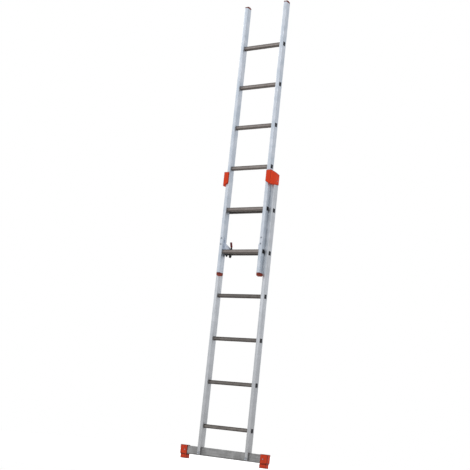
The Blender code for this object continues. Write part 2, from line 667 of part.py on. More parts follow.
def hook_tip(word, side, place, depths):
    """Soft sleeve over the end of one prong."""
    inner_face = UPPER_WIDTH / 2 - STILE_WIDTH
    plate_outer = inner_face - HOOK_INBOARD
    plate_inner = plate_outer - HOOK_PLATE
    prong_low = mouth_and_prong_ends()[1]
    wall = TIP_WALL + GAP
    name = f"hook_tip_{place}_{word}"
    near = depths[0] - wall
    far = depths[1] + wall
    if place == "front":
        far = depths[1] + GAP + HOOK_MOUTH_PLAY / 2
    else:
        near = depths[0] - GAP - HOOK_MOUTH_PLAY / 2
    tip = block(name, (side * plate_inner, near, prong_low - TIP_NOSE),
                (side * (plate_outer + wall), far, prong_low + TIP_COVER), BLACK)
    pocket = block(name + "_pocket",
                   (side * (plate_inner - HOOK_PLATE), depths[0] - GAP, prong_low - GAP),
                   (side * (plate_outer + GAP), depths[1] + GAP, prong_low + TIP_COVER * 2))
    return combine(tip, pocket)


def latch_standoff():
    """Distance from the hook's plate to the lever, which leaves room for the grip's wall."""
    return LATCH_SIDE_PLAY + LATCH_GRIP_WALL + GAP


def latch_pivot(side):
    plate_inner = UPPER_WIDTH / 2 - STILE_WIDTH - HOOK_INBOARD - HOOK_PLATE
    x = side * (plate_inner - latch_standoff() - LATCH_THICKNESS / 2)
    return (x, LOWER_RUNG_Y + RUNG_DEPTH / 2 + LATCH_PIVOT_BEHIND_RUNG,
            HOOKED_RUNG_Z + RUNG_HEIGHT / 2 + LATCH_PIVOT_ABOVE_RUNG)


def arc(radius, start, end, steps):
    """Points on an arc about the origin, with angles in degrees."""
    turns = [radians(start + (end - start) * i / steps) for i in range(steps + 1)]
    return [(radius * cos(turn), radius * sin(turn)) for turn in turns]


def circle(radius, steps):
    return arc(radius, 0.0, 360.0, steps)[:-1]


def latch_arm_end(reach):
    """Point on the arm's centre line, from the pivot, as (back, up)."""
    return (-reach * sin(LATCH_GRIP_LEAN), reach * cos(LATCH_GRIP_LEAN))


def arm_strip(start, end, width):
    """Outline of a straight strip of the latch's arm between two reaches."""
    ax, az = latch_arm_end(start)
    bx, bz = latch_arm_end(end)
    dx = cos(LATCH_GRIP_LEAN) * width / 2
    dz = sin(LATCH_GRIP_LEAN) * width / 2
    return [(ax - dx, az - dz), (bx - dx, bz - dz), (bx + dx, bz + dz), (ax + dx, az + dz)]


def latch_lever(word, side):
    """Catch that closes the hook's mouth: a boss on the pin, a tail under the rung, an arm."""
    x, pivot_y, pivot_z = latch_pivot(side)
    rung_back = LOWER_RUNG_Y + RUNG_DEPTH / 2 - pivot_y
    rung_low = HOOKED_RUNG_Z - RUNG_HEIGHT / 2 - pivot_z
    tail_top = rung_low - LATCH_TAIL_BELOW_RUNG
    tail_low = tail_top - LATCH_TAIL_THICK
    leg_front = rung_back + LATCH_TAIL_BELOW_RUNG / 2
    leg_back = leg_front + LATCH_ARM_WIDTH
    nose = rung_back - LATCH_TAIL_UNDER_RUNG
    tail_mid = (tail_top + tail_low) / 2
    tail = [(leg_front, -LATCH_BOSS_RADIUS / 2), (leg_front, tail_top), (nose, tail_top),
            (nose - LATCH_TAIL_THICK / 2, tail_mid), (nose, tail_low),
            (leg_back - LATCH_TAIL_THICK / 2, tail_low), (leg_back, tail_mid)]
    arm_side = degrees(asin(LATCH_ARM_WIDTH / 2 / LATCH_BOSS_RADIUS))
    arm_angle = 90.0 + degrees(LATCH_GRIP_LEAN)
    arm = arm_strip(0.0, LATCH_ARM_REACH, LATCH_ARM_WIDTH)
    outline = (tail + arc(LATCH_BOSS_RADIUS, -90.0, arm_angle - arm_side, 8)
               + [arm[2], arm[1]] + arc(LATCH_BOSS_RADIUS, arm_angle + arm_side, 180.0, 2))
    name = "latch_lever_" + word
    place = (x, pivot_y, pivot_z)
    lever = prism(name, [outline], LATCH_THICKNESS, place, ACROSS, DARK_STEEL)
    collar_length = LATCH_THICKNESS / 2 + latch_standoff() - GAP
    collar_place = (x + side * collar_length / 2, pivot_y, pivot_z)
    combine(lever, cylinder(name + "_collar", LATCH_COLLAR_RADIUS, collar_length,
                            collar_place, ALONG_X), "UNION")
    combine(lever, cylinder(name + "_pin_hole", LATCH_PIN_RADIUS + GAP / 2,
                            LATCH_THICKNESS * 3, place, ALONG_X))
    return lever


def latch_grip(word, side):
    """Sleeve pushed over the latch's arm, to pull it by."""
    place = latch_pivot(side)
    start = LATCH_ARM_REACH + GAP + LATCH_GRIP_WALL - LATCH_GRIP_LENGTH
    end = LATCH_ARM_REACH + GAP + LATCH_GRIP_WALL
    name = "latch_grip_" + word
    thick = LATCH_THICKNESS + 2 * (GAP + LATCH_GRIP_WALL)
    grip = prism(name, [arm_strip(start, end, LATCH_GRIP_WIDTH)], thick, place, ACROSS, RED)
    bore = arm_strip(start - LATCH_GRIP_LENGTH, LATCH_ARM_REACH + GAP,
                     LATCH_ARM_WIDTH + 2 * GAP)
    return combine(grip, prism(name + "_bore", [bore], LATCH_THICKNESS + 2 * GAP, place,
                               ACROSS))


def latch_pin(word, side):
    """Headed pin through the hook, the latch and its spring, formed over at its inner end."""
    x, y, z = latch_pivot(side)
    outer = UPPER_WIDTH / 2 - STILE_WIDTH - HOOK_INBOARD + GAP
    length = (GAP + HOOK_PLATE + latch_standoff() + LATCH_THICKNESS + spring_length()
              + 2 * SPRING_PLAY)
    return fastener("latch_pin_" + word, ZINC, (side * outer, y, z), HEAD_OUTWARD[side],
                    LATCH_PIN_HEAD_RADIUS, LATCH_PIN_HEAD_HEIGHT, LATCH_PIN_RADIUS, length,
                    LATCH_PIN_HEAD_RADIUS, LATCH_PIN_HEAD_HEIGHT / 2)


def spring_length():
    return SPRING_TURNS * SPRING_PITCH + SPRING_WIRE * 2


def latch_spring(word, side):
    """Torsion spring round the pin, inboard of the latch, with two straight legs."""
    x, y, z = latch_pivot(side)
    radius = LATCH_PIN_RADIUS + SPRING_PLAY + SPRING_WIRE
    start = abs(x) - LATCH_THICKNESS / 2 - SPRING_PLAY - SPRING_WIRE
    per_turn = 10
    steps = SPRING_TURNS * per_turn
    drop = SPRING_TURNS * SPRING_PITCH
    points = [(side * start, radius, -SPRING_LEG)]
    for step in range(steps + 1):
        angle = 2 * pi * step / per_turn
        points.append((side * (start - drop * step / steps), radius * cos(angle),
                       radius * sin(angle)))
    points.append((side * (start - drop), radius, SPRING_LEG))
    curve = bpy.data.curves.new("spring_path_" + word, "CURVE")
    curve.dimensions = "3D"
    curve.bevel_depth = SPRING_WIRE
    curve.bevel_resolution = 1
    curve.use_fill_caps = True
    spline = curve.splines.new("POLY")
    spline.points.add(len(points) - 1)
    for point, place in zip(spline.points, points):
        point.co = (*place, 1.0)
    spring = bpy.data.objects.new("latch_spring_" + word, curve)
    spring.location = (0.0, y, z)
    PARTS.objects.link(spring)
    bpy.context.view_layer.update()
    return dress(to_mesh(spring, PARTS), ZINC)


# ---------------------------------------------------------------- the two sections
def holder(name, place):
    empty = bpy.data.objects.new(name, None)
    empty.location = place
    empty.empty_display_size = RUNG_PITCH / 4
    PARTS.objects.link(empty)
    return empty


def lower_section():
    parts = [stabiliser_bar()]
    for index in range(RUNG_COUNT):
        parts.append(rung(f"lower_rung_{index + 1}", LOWER_WIDTH, LOWER_RUNG_Y,
                          LOWER_FIRST_RUNG_Z + index * RUNG_PITCH))
    for word, side in SIDES:
        beam = stile("lower_stile_" + word, side, LOWER_STILE_X, LOWER_FRONT_Y, LOWER_END_Z,
                     LOWER_TOP_Z, LOWER_FIRST_RUNG_Z)
        notch_for_bar(beam, side)
        bolt_place = bar_bolt_place(side)
        bolt_hole(beam, f"stile_bar_hole_{word}", BAR_BOLT_SHANK_RADIUS, bolt_place)
        guide_place = guide_screw_place(side)
        screw_hole(beam, f"stile_guide_hole_{word}", guide_place, ALONG_X)
        foot_place = foot_screw_place(side)
        bolt_length = STILE_DEPTH + 3 * GAP + BAR_NUT_HEIGHT + BAR_BOLT_PAST_NUT
        parts += [
            beam, stabiliser_foot(word, side), stile_guide(word, side),
            fastener("bar_bolt_" + word, ZINC,
                     (bolt_place[0], LOWER_FRONT_Y - GAP, bolt_place[2]), HEAD_TO_FRONT,
                     BAR_BOLT_HEAD_RADIUS, BAR_BOLT_HEAD_HEIGHT, BAR_BOLT_SHANK_RADIUS,
                     bolt_length),
            bar_nut(word, side),
            fastener("foot_screw_" + word, ZINC,
                     (foot_place[0], foot_place[1] - GAP, foot_place[2]), HEAD_TO_FRONT,
                     SCREW_HEAD_RADIUS, SCREW_HEAD_HEIGHT, SCREW_SHANK_RADIUS, SCREW_LENGTH),
            fastener("guide_screw_" + word, ZINC,
                     (guide_place[0] + side * GAP, guide_place[1], guide_place[2]),
                     HEAD_OUTWARD[side], SCREW_HEAD_RADIUS, SCREW_HEAD_HEIGHT,
                     SCREW_SHANK_RADIUS, SCREW_LENGTH),
        ]
    return parts


def bar_nut(word, side):
    hexagon = circle(BAR_NUT_RADIUS, 6)
    bore = circle(BAR_BOLT_SHANK_RADIUS + GAP, 12)
    y = LOWER_FRONT_Y + STILE_DEPTH + GAP + BAR_NUT_HEIGHT / 2
    return prism("bar_nut_" + word, [hexagon, bore], BAR_NUT_HEIGHT,
                 (side * LOWER_STILE_X, y, bar_bolt_place(side)[2]), FACING, ZINC)


def upper_section():
    parts = []
    for index in range(RUNG_COUNT):
        parts.append(rung(f"upper_rung_{index + 1}", UPPER_WIDTH, UPPER_RUNG_Y,
                          UPPER_FIRST_RUNG_Z + index * RUNG_PITCH))
    for word, side in SIDES:
        beam = stile("upper_stile_" + word, side, UPPER_STILE_X, UPPER_FRONT_Y, UPPER_END_Z,
                     UPPER_TOP_Z, UPPER_FIRST_RUNG_Z)
        hook_slot_and_holes(beam, side)
        front, back = prong_depths()
        parts += [
            beam,
            stile_cap("upper_top_cap_" + word, side, UPPER_TOP_Z, 1, TOP_CAP_RIM,
                      TOP_CAP_DOME),
            stile_cap("upper_foot_cap_" + word, side, UPPER_END_Z, -1, CAP_RIM, CAP_DOME),
            hook(word, side), hook_tip(word, side, "front", front),
            hook_tip(word, side, "back", back), latch_pin(word, side),
            latch_spring(word, side),
        ]
        for index, height in enumerate(HOOK_BOLT_HEIGHTS):
            parts.append(fastener(
                f"hook_bolt_{word}_{index + 1}", ZINC,
                (side * UPPER_STILE_X, UPPER_FRONT_Y - GAP, UPPER_FIRST_RUNG_Z + height),
                HEAD_TO_FRONT, BOLT_HEAD_RADIUS, BOLT_HEAD_HEIGHT, BOLT_SHANK_RADIUS,
                STILE_DEPTH + 2 * GAP, BOLT_TAIL_RADIUS, BOLT_TAIL_HEIGHT))
    return parts


def build():
    lower = holder("lower_section", (0.0, 0.0, 0.0))
    for part in lower_section():
        attach(part, lower)
    upper = holder("upper_section", (0.0, UPPER_RUNG_Y, UPPER_FIRST_RUNG_Z))
    for part in upper_section():
        attach(part, upper)
    for word, side in SIDES:
        pivot = holder("latch_" + word, latch_pivot(side))
        for part in (latch_lever(word, side), latch_grip(word, side)):
            attach(part, pivot)
        attach(pivot, upper)


build()
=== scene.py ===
# %% [markdown]
# # A two-section push-up ladder
# A narrow upper section slides up the front of a wider lower section. Orange mouldings on the
# lower stiles guide it, and two steel hooks hang it on a rung. The solid model is loaded as it
# is, because every size is already right there. What is added here is the fine surface: soft
# edges, pressed rims, plugs, tread grooves, and a material for each finish.

# %% Load the ladder
import json
from math import cos, pi, radians, sin

import bmesh
import bpy
from mathutils import Matrix, Vector

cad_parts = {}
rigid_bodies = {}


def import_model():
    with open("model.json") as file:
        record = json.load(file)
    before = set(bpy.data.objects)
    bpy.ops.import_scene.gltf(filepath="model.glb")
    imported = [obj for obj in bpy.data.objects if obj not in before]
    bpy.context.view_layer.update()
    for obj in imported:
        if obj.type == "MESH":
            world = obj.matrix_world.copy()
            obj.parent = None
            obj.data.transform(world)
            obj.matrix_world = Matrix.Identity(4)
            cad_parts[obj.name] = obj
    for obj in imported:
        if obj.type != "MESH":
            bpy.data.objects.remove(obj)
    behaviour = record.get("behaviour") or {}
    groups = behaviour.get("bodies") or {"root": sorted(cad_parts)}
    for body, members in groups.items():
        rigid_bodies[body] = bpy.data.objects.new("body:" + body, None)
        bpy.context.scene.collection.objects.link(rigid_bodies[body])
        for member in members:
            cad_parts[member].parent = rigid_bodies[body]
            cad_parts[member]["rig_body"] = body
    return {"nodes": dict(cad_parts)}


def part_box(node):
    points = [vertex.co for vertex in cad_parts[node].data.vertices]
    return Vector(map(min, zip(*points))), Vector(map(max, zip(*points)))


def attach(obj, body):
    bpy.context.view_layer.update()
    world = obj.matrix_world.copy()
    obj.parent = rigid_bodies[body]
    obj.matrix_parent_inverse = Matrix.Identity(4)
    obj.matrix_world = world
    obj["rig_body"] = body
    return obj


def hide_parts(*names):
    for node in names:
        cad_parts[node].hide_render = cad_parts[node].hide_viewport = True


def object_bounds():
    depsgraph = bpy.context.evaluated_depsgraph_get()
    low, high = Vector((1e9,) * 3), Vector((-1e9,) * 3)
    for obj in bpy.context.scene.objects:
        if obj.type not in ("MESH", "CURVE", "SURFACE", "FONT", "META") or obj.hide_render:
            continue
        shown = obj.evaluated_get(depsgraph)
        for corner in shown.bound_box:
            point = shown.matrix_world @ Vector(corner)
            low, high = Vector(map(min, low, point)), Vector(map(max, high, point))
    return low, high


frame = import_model()
cad_low, cad_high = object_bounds()
NODES = frame["nodes"]
MM = 0.001
print("ladder is", [round(b - a, 3) for a, b in zip(cad_low, cad_high)], "m")

# %% [markdown]
# ## Sides and rungs
# The ladder is symmetric, so most pieces come in a left and a right copy, and each rung passes
# right through both of its stiles. A name says which section and which side a piece belongs to,
# so the later steps loop over names rather than list the pieces again.

# %% The two sections
SIDES = (("left", -1), ("right", 1))
SECTIONS = ("lower", "upper")


def rungs(section):
    return sorted(name for name in NODES if name.startswith(section + "_rung_"))


for section in SECTIONS:
    print(section, "section has", len(rungs(section)), "rungs")

# %% [markdown]
# ## Colour and nodes
# Colours are written the way a paint chart gives them, as sRGB hex, and the shader wants linear
# values, so one function turns one into the other. A second one adds a shader node of any kind
# with its inputs and its settings, so that each material below reads as a list of what it is
# made of.

# %% Helpers for every material
def linear(hex_colour):
    """sRGB hex, such as D4D8DC, as a linear colour with alpha."""
    channels = [int(hex_colour[i:i + 2], 16) / 255 for i in (0, 2, 4)]
    return [c / 12.92 if c <= 0.04045 else ((c + 0.055) / 1.055) ** 2.4 for c in channels] + [1.0]


def add(tree, kind, inputs=None, **settings):
    """Add a node. An input is a plain value, or the output of another node to link from."""
    node = tree.nodes.new("ShaderNode" + kind)
    for name, value in settings.items():
        setattr(node, name, value)
    for name, value in (inputs or {}).items():
        if isinstance(value, bpy.types.NodeSocket):
            tree.links.new(value, node.inputs[name])
        else:
            node.inputs[name].default_value = value
    return node


def new_finish(name, metallic, roughness):
    """An empty material, its node tree, its shader and the piece's own coordinates in metres."""
    material = bpy.data.materials.new(name)
    material.use_nodes = True
    tree = material.node_tree
    shader = tree.nodes["Principled BSDF"]
    shader.inputs["Metallic"].default_value = metallic
    shader.inputs["Roughness"].default_value = roughness
    return material, tree, shader, add(tree, "TexCoord").outputs


def wire(tree, shader, colour, roughness, normal):
    tree.links.new(colour, shader.inputs["Base Color"])
    tree.links.new(roughness, shader.inputs["Roughness"])
    tree.links.new(normal, shader.inputs["Normal"])


AMOUNT, UNDER, OVER, MIXED = 0, 6, 7, 2        # sockets of a Mix node that mixes colours
print("D4D8DC is", [round(c, 3) for c in linear("D4D8DC")])

# %% [markdown]
# ## Mill-finish aluminium
# The stiles and the bar are aluminium 6060, pushed hot through a die and left as it came out.
# The die leaves fine straight lines along the length, which widen the highlights, and handling
# leaves cloudy dull patches and a few bright rub marks. A real die line is about 0.3 mm wide; it
# is drawn at 1.6 mm so that it still shows from across a room. The lowest metre has picked up
# dust from the ground, so it is duller. The lower edge of the bar is painted darker too, as
# painted shade along its rounded lower corner.

# %% Extruded aluminium, with its length along X or Z
DIE_LINE = 1.6            # mm
CLOUD = 55.0              # mm, dull patches
RUB = 6.0                 # mm, bright marks, six times as long as wide
GROUND_DUST = (0.0, 1.0)  # m above the floor, where it is thickest and where it ends
# m above the floor, where the painted shade along the bar's lower edge is darkest and where it
# ends
BAR_SHADE_HEIGHTS = (0.030, 0.038)


def extruded_aluminium(name, along, clean, dull, dust_and_shade_tone, dust_and_shade_heights, roughness):
    """Metal with soft straight lines along its length, cloudy patches and a darker low end, which
    is dust on the stiles and painted shade on the bar.
    """
    material, tree, shader, place = new_finish(name, 1.0, roughness)
    long, across = 0.004 / MM, 1 / (DIE_LINE * MM)
    line_scale = (long, across, across) if along == "X" else (across, across, long)
    rub_scale = [1 / (RUB * MM * k) for k in ((1, 1, 6) if along == "X" else (6, 6, 1))]
    line_place = add(tree, "Mapping", {"Vector": place["Object"], "Scale": line_scale})
    lines = add(tree, "TexNoise", {"Vector": line_place.outputs[0], "Scale": 1.0, "Detail": 2.0})
    clouds = add(tree, "TexNoise", {"Vector": place["Object"], "Scale": 1 / (CLOUD * MM),
                                    "Detail": 4.0})
    rub_place = add(tree, "Mapping", {"Vector": place["Object"], "Scale": rub_scale})
    rubs = add(tree, "TexNoise", {"Vector": rub_place.outputs[0], "Scale": 1.0, "Detail": 3.0})
    height = add(tree, "SeparateXYZ", {"Vector": place["Object"]})

    patch = add(tree, "MapRange", {"Value": clouds.outputs[0], "From Min": 0.38,
                                   "From Max": 0.62})
    patchy = add(tree, "Mix", {AMOUNT: patch.outputs[0], UNDER: linear(clean),
                               OVER: linear(dull)}, data_type="RGBA")
    # Darker towards the low end: dust on the stiles, painted shade along the bar's lower edge.
    dust_and_shade = add(tree, "MapRange", {"Value": height.outputs["Z"], "From Min": dust_and_shade_heights[0],
                                  "From Max": dust_and_shade_heights[1], "To Min": 0.75,
                                  "To Max": 0.0})
    dust_and_shade_mixed = add(tree, "Mix", {AMOUNT: dust_and_shade.outputs[0], UNDER: patchy.outputs[MIXED],
                               OVER: linear(dust_and_shade_tone)}, data_type="RGBA")
    line = add(tree, "MapRange", {"Value": lines.outputs[0], "From Min": 0.4, "From Max": 0.6,
                                  "To Max": 0.3})
    lined = add(tree, "Mix", {AMOUNT: line.outputs[0], UNDER: dust_and_shade_mixed.outputs[MIXED],
                              OVER: linear(dust_and_shade_tone)}, data_type="RGBA")
    rub = add(tree, "MapRange", {"Value": rubs.outputs[0], "From Min": 0.66, "From Max": 0.76,
                                 "To Max": 0.35})
    rubbed = add(tree, "Mix", {AMOUNT: rub.outputs[0], UNDER: lined.outputs[MIXED],
                               OVER: linear("E6E8EA")}, data_type="RGBA")

    patch_gloss = add(tree, "MapRange", {"Value": clouds.outputs[0], "From Min": 0.35,
                                         "From Max": 0.65, "To Min": roughness - 0.05,
                                         "To Max": roughness + 0.06})
    gloss = add(tree, "Math", {0: lines.outputs[0], 1: 0.12, 2: patch_gloss.outputs[0]},
                operation="MULTIPLY_ADD")
    relief = add(tree, "Bump", {"Height": lines.outputs[0], "Distance": 0.03 * MM,
                                "Strength": 0.5})
    wire(tree, shader, rubbed.outputs[MIXED], gloss.outputs[0], relief.outputs[0])
    return material


print("die lines are drawn", DIE_LINE, "mm wide")

# %% Stile and bar aluminium
upper_aluminium = extruded_aluminium("bright_extruded_aluminium", "Z", "D9DEE4", "C8D0D8",
                                     "A6AEB6", GROUND_DUST, 0.38)
lower_aluminium = extruded_aluminium("handled_extruded_aluminium", "Z", "DADDE0", "CCD0D3",
                                     "8E8D8C", GROUND_DUST, 0.40)
# The bar's darker lower edge is painted shade.
bar_aluminium = extruded_aluminium("dulled_extruded_aluminium", "X", "979796", "868685",
                                   "4E4C4A", BAR_SHADE_HEIGHTS, 0.42)
print("made", upper_aluminium.name, lower_aluminium.name, bar_aluminium.name)

# %% [markdown]
# ## Ribbed rung aluminium
# The rungs are extruded with fine ribs and left dull, so that shoes grip, and they are a darker
# brownish grey than the stiles. Each face is lightest in its wide middle and darkened towards its
# top and bottom edges as painted shade, so the colour follows the height within the rung, with a
# broad noise for uneven wear. The lower rungs take a darker copy of the finish, which is painted
# shade.

# %% Ribbed aluminium
RIB = 1.4                 # mm, drawn twice as wide as real ribs so that it shows
GRIME = 22.0              # mm
LIGHTEST_SHARE = 0.52        # share of the rung's height where it is lightest; painted shade darkens it above and below


def ribbed_aluminium(name, worn, grimy, painted_shade_tone, rib_tone):
    """Dull brownish metal, lighter in the middle of each face, with painted shade towards its top
    and bottom edges.
    """
    material, tree, shader, place = new_finish(name, 1.0, 0.48)
    rib_place = add(tree, "Mapping", {"Vector": place["Object"],
                                      "Scale": (4.0, 1 / (RIB * MM), 1 / (RIB * MM))})
    ribs = add(tree, "TexNoise", {"Vector": rib_place.outputs[0], "Scale": 1.0, "Detail": 1.0})
    grime = add(tree, "TexNoise", {"Vector": place["Object"], "Scale": 1 / (GRIME * MM),
                                   "Detail": 5.0})
    across = add(tree, "SeparateXYZ", {"Vector": place["Generated"]})
    off_middle = add(tree, "Math", {0: across.outputs["Z"], 1: LIGHTEST_SHARE},
                     operation="SUBTRACT")
    distance = add(tree, "Math", {0: off_middle.outputs[0]}, operation="ABSOLUTE")
    # Painted shade: each face darkens towards its top and bottom edges.
    edge = add(tree, "MapRange", {"Value": distance.outputs[0], "From Min": 0.18,
                                  "From Max": 0.36}, interpolation_type="SMOOTHSTEP")
    wear = add(tree, "MapRange", {"Value": grime.outputs[0], "From Min": 0.35, "From Max": 0.65,
                                  "To Max": 0.6})
    trodden = add(tree, "Mix", {AMOUNT: wear.outputs[0], UNDER: linear(worn),
                                OVER: linear(grimy)}, data_type="RGBA")
    painted_edge_shade = add(tree, "Mix", {AMOUNT: edge.outputs[0], UNDER: trodden.outputs[MIXED],
                              OVER: linear(painted_shade_tone)}, data_type="RGBA")
    rib = add(tree, "MapRange", {"Value": ribs.outputs[0], "From Min": 0.42, "From Max": 0.58,
                                 "To Max": 0.4})
    ribbed = add(tree, "Mix", {AMOUNT: rib.outputs[0], UNDER: painted_edge_shade.outputs[MIXED],
                               OVER: linear(rib_tone)}, data_type="RGBA")
    gloss = add(tree, "Math", {0: grime.outputs[0], 1: 0.22, 2: 0.36}, operation="MULTIPLY_ADD")
    relief = add(tree, "Bump", {"Height": ribs.outputs[0], "Distance": 0.12 * MM,
                                "Strength": 0.6})
    wire(tree, shader, ribbed.outputs[MIXED], gloss.outputs[0], relief.outputs[0])
    return material


print("ribs are drawn", RIB, "mm wide")

# %% Rung and rim aluminium
# The lower rungs take a darker copy of the finish, which is painted shade.
RUNG_FINISH = {
    "upper": ribbed_aluminium("ribbed_aluminium_painted_lit", "A09893", "88817C", "5E5752",
                              "5A544F"),
    "lower": ribbed_aluminium("ribbed_aluminium_painted_shaded", "7E7974", "6A6561", "4B4642",
                              "45413E"),
}
rim_aluminium = extruded_aluminium("pressed_rim_aluminium", "Z", "A8A9AB", "8E8F92",
                                   "7A7A7A", GROUND_DUST, 0.45)
print("made", [finish.name for finish in RUNG_FINISH.values()], rim_aluminium.name)

# %% [markdown]
# ## Moulded plastics
# The guides, caps and feet are injection-moulded polypropylene. The mould was spark eroded, so
# the skin has an even grain of about 0.5 mm, which takes the shine down to satin, and the colour
# is a little uneven where the melt flowed. Every edge is darkened by painted shade, and the feet
# take a darker copy of the orange, which is painted shade too. The grips are dipped vinyl, which
# is smoother and shinier. The plugs are black polyethylene, and the tips are matt black rubber.
# They differ in colour, gloss and grain only, so one function makes them all.

# %% Moulded plastic and rubber
FLOW = 18.0               # mm, streaks where the melt flowed
SCUFF = 4.0               # mm, pale marks
EDGE_SHADE_REACH = 5.5           # mm, how far from an edge its painted shade can reach
MOULDED_SHINE = 0.2       # a spark-grained skin mirrors less than a polished one


def moulded_plastic(name, body, flow, edge, scuffed, roughness, grain, grain_depth):
    """Grained plastic, with painted shade towards its edges, and paler where it is scuffed."""
    material, tree, shader, place = new_finish(name, 0.0, roughness)
    shader.inputs["Specular IOR Level"].default_value = MOULDED_SHINE
    streak_place = add(tree, "Mapping", {"Vector": place["Object"],
                                         "Scale": [1 / (FLOW * MM * k) for k in (1, 1, 2.5)]})
    streaks = add(tree, "TexNoise", {"Vector": streak_place.outputs[0], "Scale": 1.0,
                                     "Detail": 3.0})
    grains = add(tree, "TexNoise", {"Vector": place["Object"], "Scale": 1 / (grain * MM),
                                    "Detail": 2.0})
    scuffs = add(tree, "TexNoise", {"Vector": place["Object"], "Scale": 1 / (SCUFF * MM),
                                    "Detail": 4.0})
    # Painted shade: the colour darkens near every edge, where the rounded normal turns away from
    # the face's own.
    rounded = add(tree, "Bevel", {"Radius": EDGE_SHADE_REACH * MM}, samples=6)
    facing = add(tree, "NewGeometry")
    turned = add(tree, "VectorMath", {0: rounded.outputs[0], 1: facing.outputs["Normal"]},
                 operation="DOT_PRODUCT")

    streak = add(tree, "MapRange", {"Value": streaks.outputs[0], "From Min": 0.35,
                                    "From Max": 0.65})
    tone = add(tree, "Mix", {AMOUNT: streak.outputs[0], UNDER: linear(body),
                             OVER: linear(flow)}, data_type="RGBA")
    edge_shade_mask = add(tree, "MapRange", {"Value": turned.outputs["Value"], "From Min": 0.998,
                                  "From Max": 0.95, "To Max": 0.95})
    painted_edge_shade = add(tree, "Mix", {AMOUNT: edge_shade_mask.outputs[0], UNDER: tone.outputs[MIXED],
                              OVER: linear(edge)}, data_type="RGBA")
    scuff = add(tree, "MapRange", {"Value": scuffs.outputs[0], "From Min": 0.62,
                                   "From Max": 0.76, "To Max": 0.5})
    worn = add(tree, "Mix", {AMOUNT: scuff.outputs[0], UNDER: painted_edge_shade.outputs[MIXED],
                             OVER: linear(scuffed)}, data_type="RGBA")
    gloss = add(tree, "Math", {0: scuffs.outputs[0], 1: 0.2, 2: roughness - 0.1},
                operation="MULTIPLY_ADD")
    relief = add(tree, "Bump", {"Height": grains.outputs[0], "Distance": grain_depth * MM,
                                "Strength": 0.5})
    wire(tree, shader, worn.outputs[MIXED], gloss.outputs[0], relief.outputs[0])
    return material


# The edges carry painted shade this far in.
print("edges are dirty up to", EDGE_SHADE_REACH, "mm in")

# %% Polypropylene, vinyl, polyethylene and rubber
orange_plastic = moulded_plastic("grained_orange_polypropylene", "D0380A", "C43307", "330B03",
                                 "DC5E30", 0.48, 0.6, 0.03)
# The feet's darker orange is painted shade.
shaded_foot_plastic = moulded_plastic("shade_darkened_orange_polypropylene", "B33008", "A32A06", "2E0C03",
                               "CC6238", 0.52, 0.6, 0.04)
# The caps' darker brick red is painted shade.
shaded_cap_plastic = moulded_plastic("grained_shaded_brick_red_polypropylene", "7C2A15", "6C2310",
                                "3E1307", "98503A", 0.48, 0.6, 0.03)
red_vinyl = moulded_plastic("dipped_red_vinyl", "7E1518", "6C1114", "4A0C0E", "9C3432", 0.34,
                            2.0, 0.04)
black_plastic = moulded_plastic("black_polyethylene", "131317", "0E0E12", "0A0A0C", "26262B",
                                0.46, 0.7, 0.02)
black_rubber = moulded_plastic("black_hook_rubber", "101011", "0B0B0C", "080808", "222223",
                               0.66, 0.9, 0.05)
print("made", orange_plastic.name, shaded_foot_plastic.name, shaded_cap_plastic.name)
print("and", red_vinyl.name, black_plastic.name, black_rubber.name)

# %% [markdown]
# ## Plated and blackened steel
# The hooks and fasteners are pressed mild steel under bright zinc, which has a faint blue cast
# and small cloudy flakes. The latch levers are blackened in hot oil, and have rubbed through to
# grey in places. Only colour, gloss and flake size differ, so one function makes both.

# %% Coated steel
def coated_steel(name, body, flake_tone, rubbed_tone, roughness, flake):
    """Metal with cloudy flakes and small rubbed spots."""
    material, tree, shader, place = new_finish(name, 1.0, roughness)
    flakes = add(tree, "TexNoise", {"Vector": place["Object"], "Scale": 1 / (flake * MM),
                                    "Detail": 5.0})
    rubs = add(tree, "TexNoise", {"Vector": place["Object"], "Scale": 1 / (0.3 * flake * MM),
                                  "Detail": 4.0})
    patch = add(tree, "MapRange", {"Value": flakes.outputs[0], "From Min": 0.38,
                                   "From Max": 0.62})
    tone = add(tree, "Mix", {AMOUNT: patch.outputs[0], UNDER: linear(body),
                             OVER: linear(flake_tone)}, data_type="RGBA")
    rub = add(tree, "MapRange", {"Value": rubs.outputs[0], "From Min": 0.62, "From Max": 0.72,
                                 "To Max": 0.7})
    worn = add(tree, "Mix", {AMOUNT: rub.outputs[0], UNDER: tone.outputs[MIXED],
                             OVER: linear(rubbed_tone)}, data_type="RGBA")
    gloss = add(tree, "Math", {0: flakes.outputs[0], 1: 0.3, 2: roughness - 0.15},
                operation="MULTIPLY_ADD")
    relief = add(tree, "Bump", {"Height": rubs.outputs[0], "Distance": 0.02 * MM,
                                "Strength": 0.5})
    wire(tree, shader, worn.outputs[MIXED], gloss.outputs[0], relief.outputs[0])
    return material


print("steel is flaked, rubbed and cloudy in its gloss")

# %% Zinc plate and blackening
zinc_plate = coated_steel("bright_zinc_plated_steel", "DADFE8", "BCC4D0", "E4E0DC", 0.38, 9.0)
bolt_zinc = coated_steel("dulled_zinc_plated_bolts", "94989F", "7D8187", "B0B1B3", 0.42, 3.0)
black_steel = coated_steel("oil_blackened_steel", "2E2F33", "232428", "5C5D60", 0.46, 7.0)
print("made", zinc_plate.name, bolt_zinc.name, black_steel.name)

# %% [markdown]
# ## Soft edges
# Nothing that is extruded, pressed or moulded has a knife edge. The solid model's edges are
# sharp, so each piece is copied, its flat faces are merged, its sharp edges are bevelled inwards
# and the copy stands for the solid. Normals are then weighted by face area, which keeps the wide
# faces flat and lets only the narrow rounded edges turn.

# %% Shade a piece and hand it over
SMOOTH_UP_TO = radians(50)


def shade(piece):
    piece.data.shade_smooth()
    piece.data.set_sharp_from_angle(angle=SMOOTH_UP_TO)
    weigh = piece.modifiers.new("flat_faces_stay_flat", "WEIGHTED_NORMAL")
    weigh.keep_sharp = True


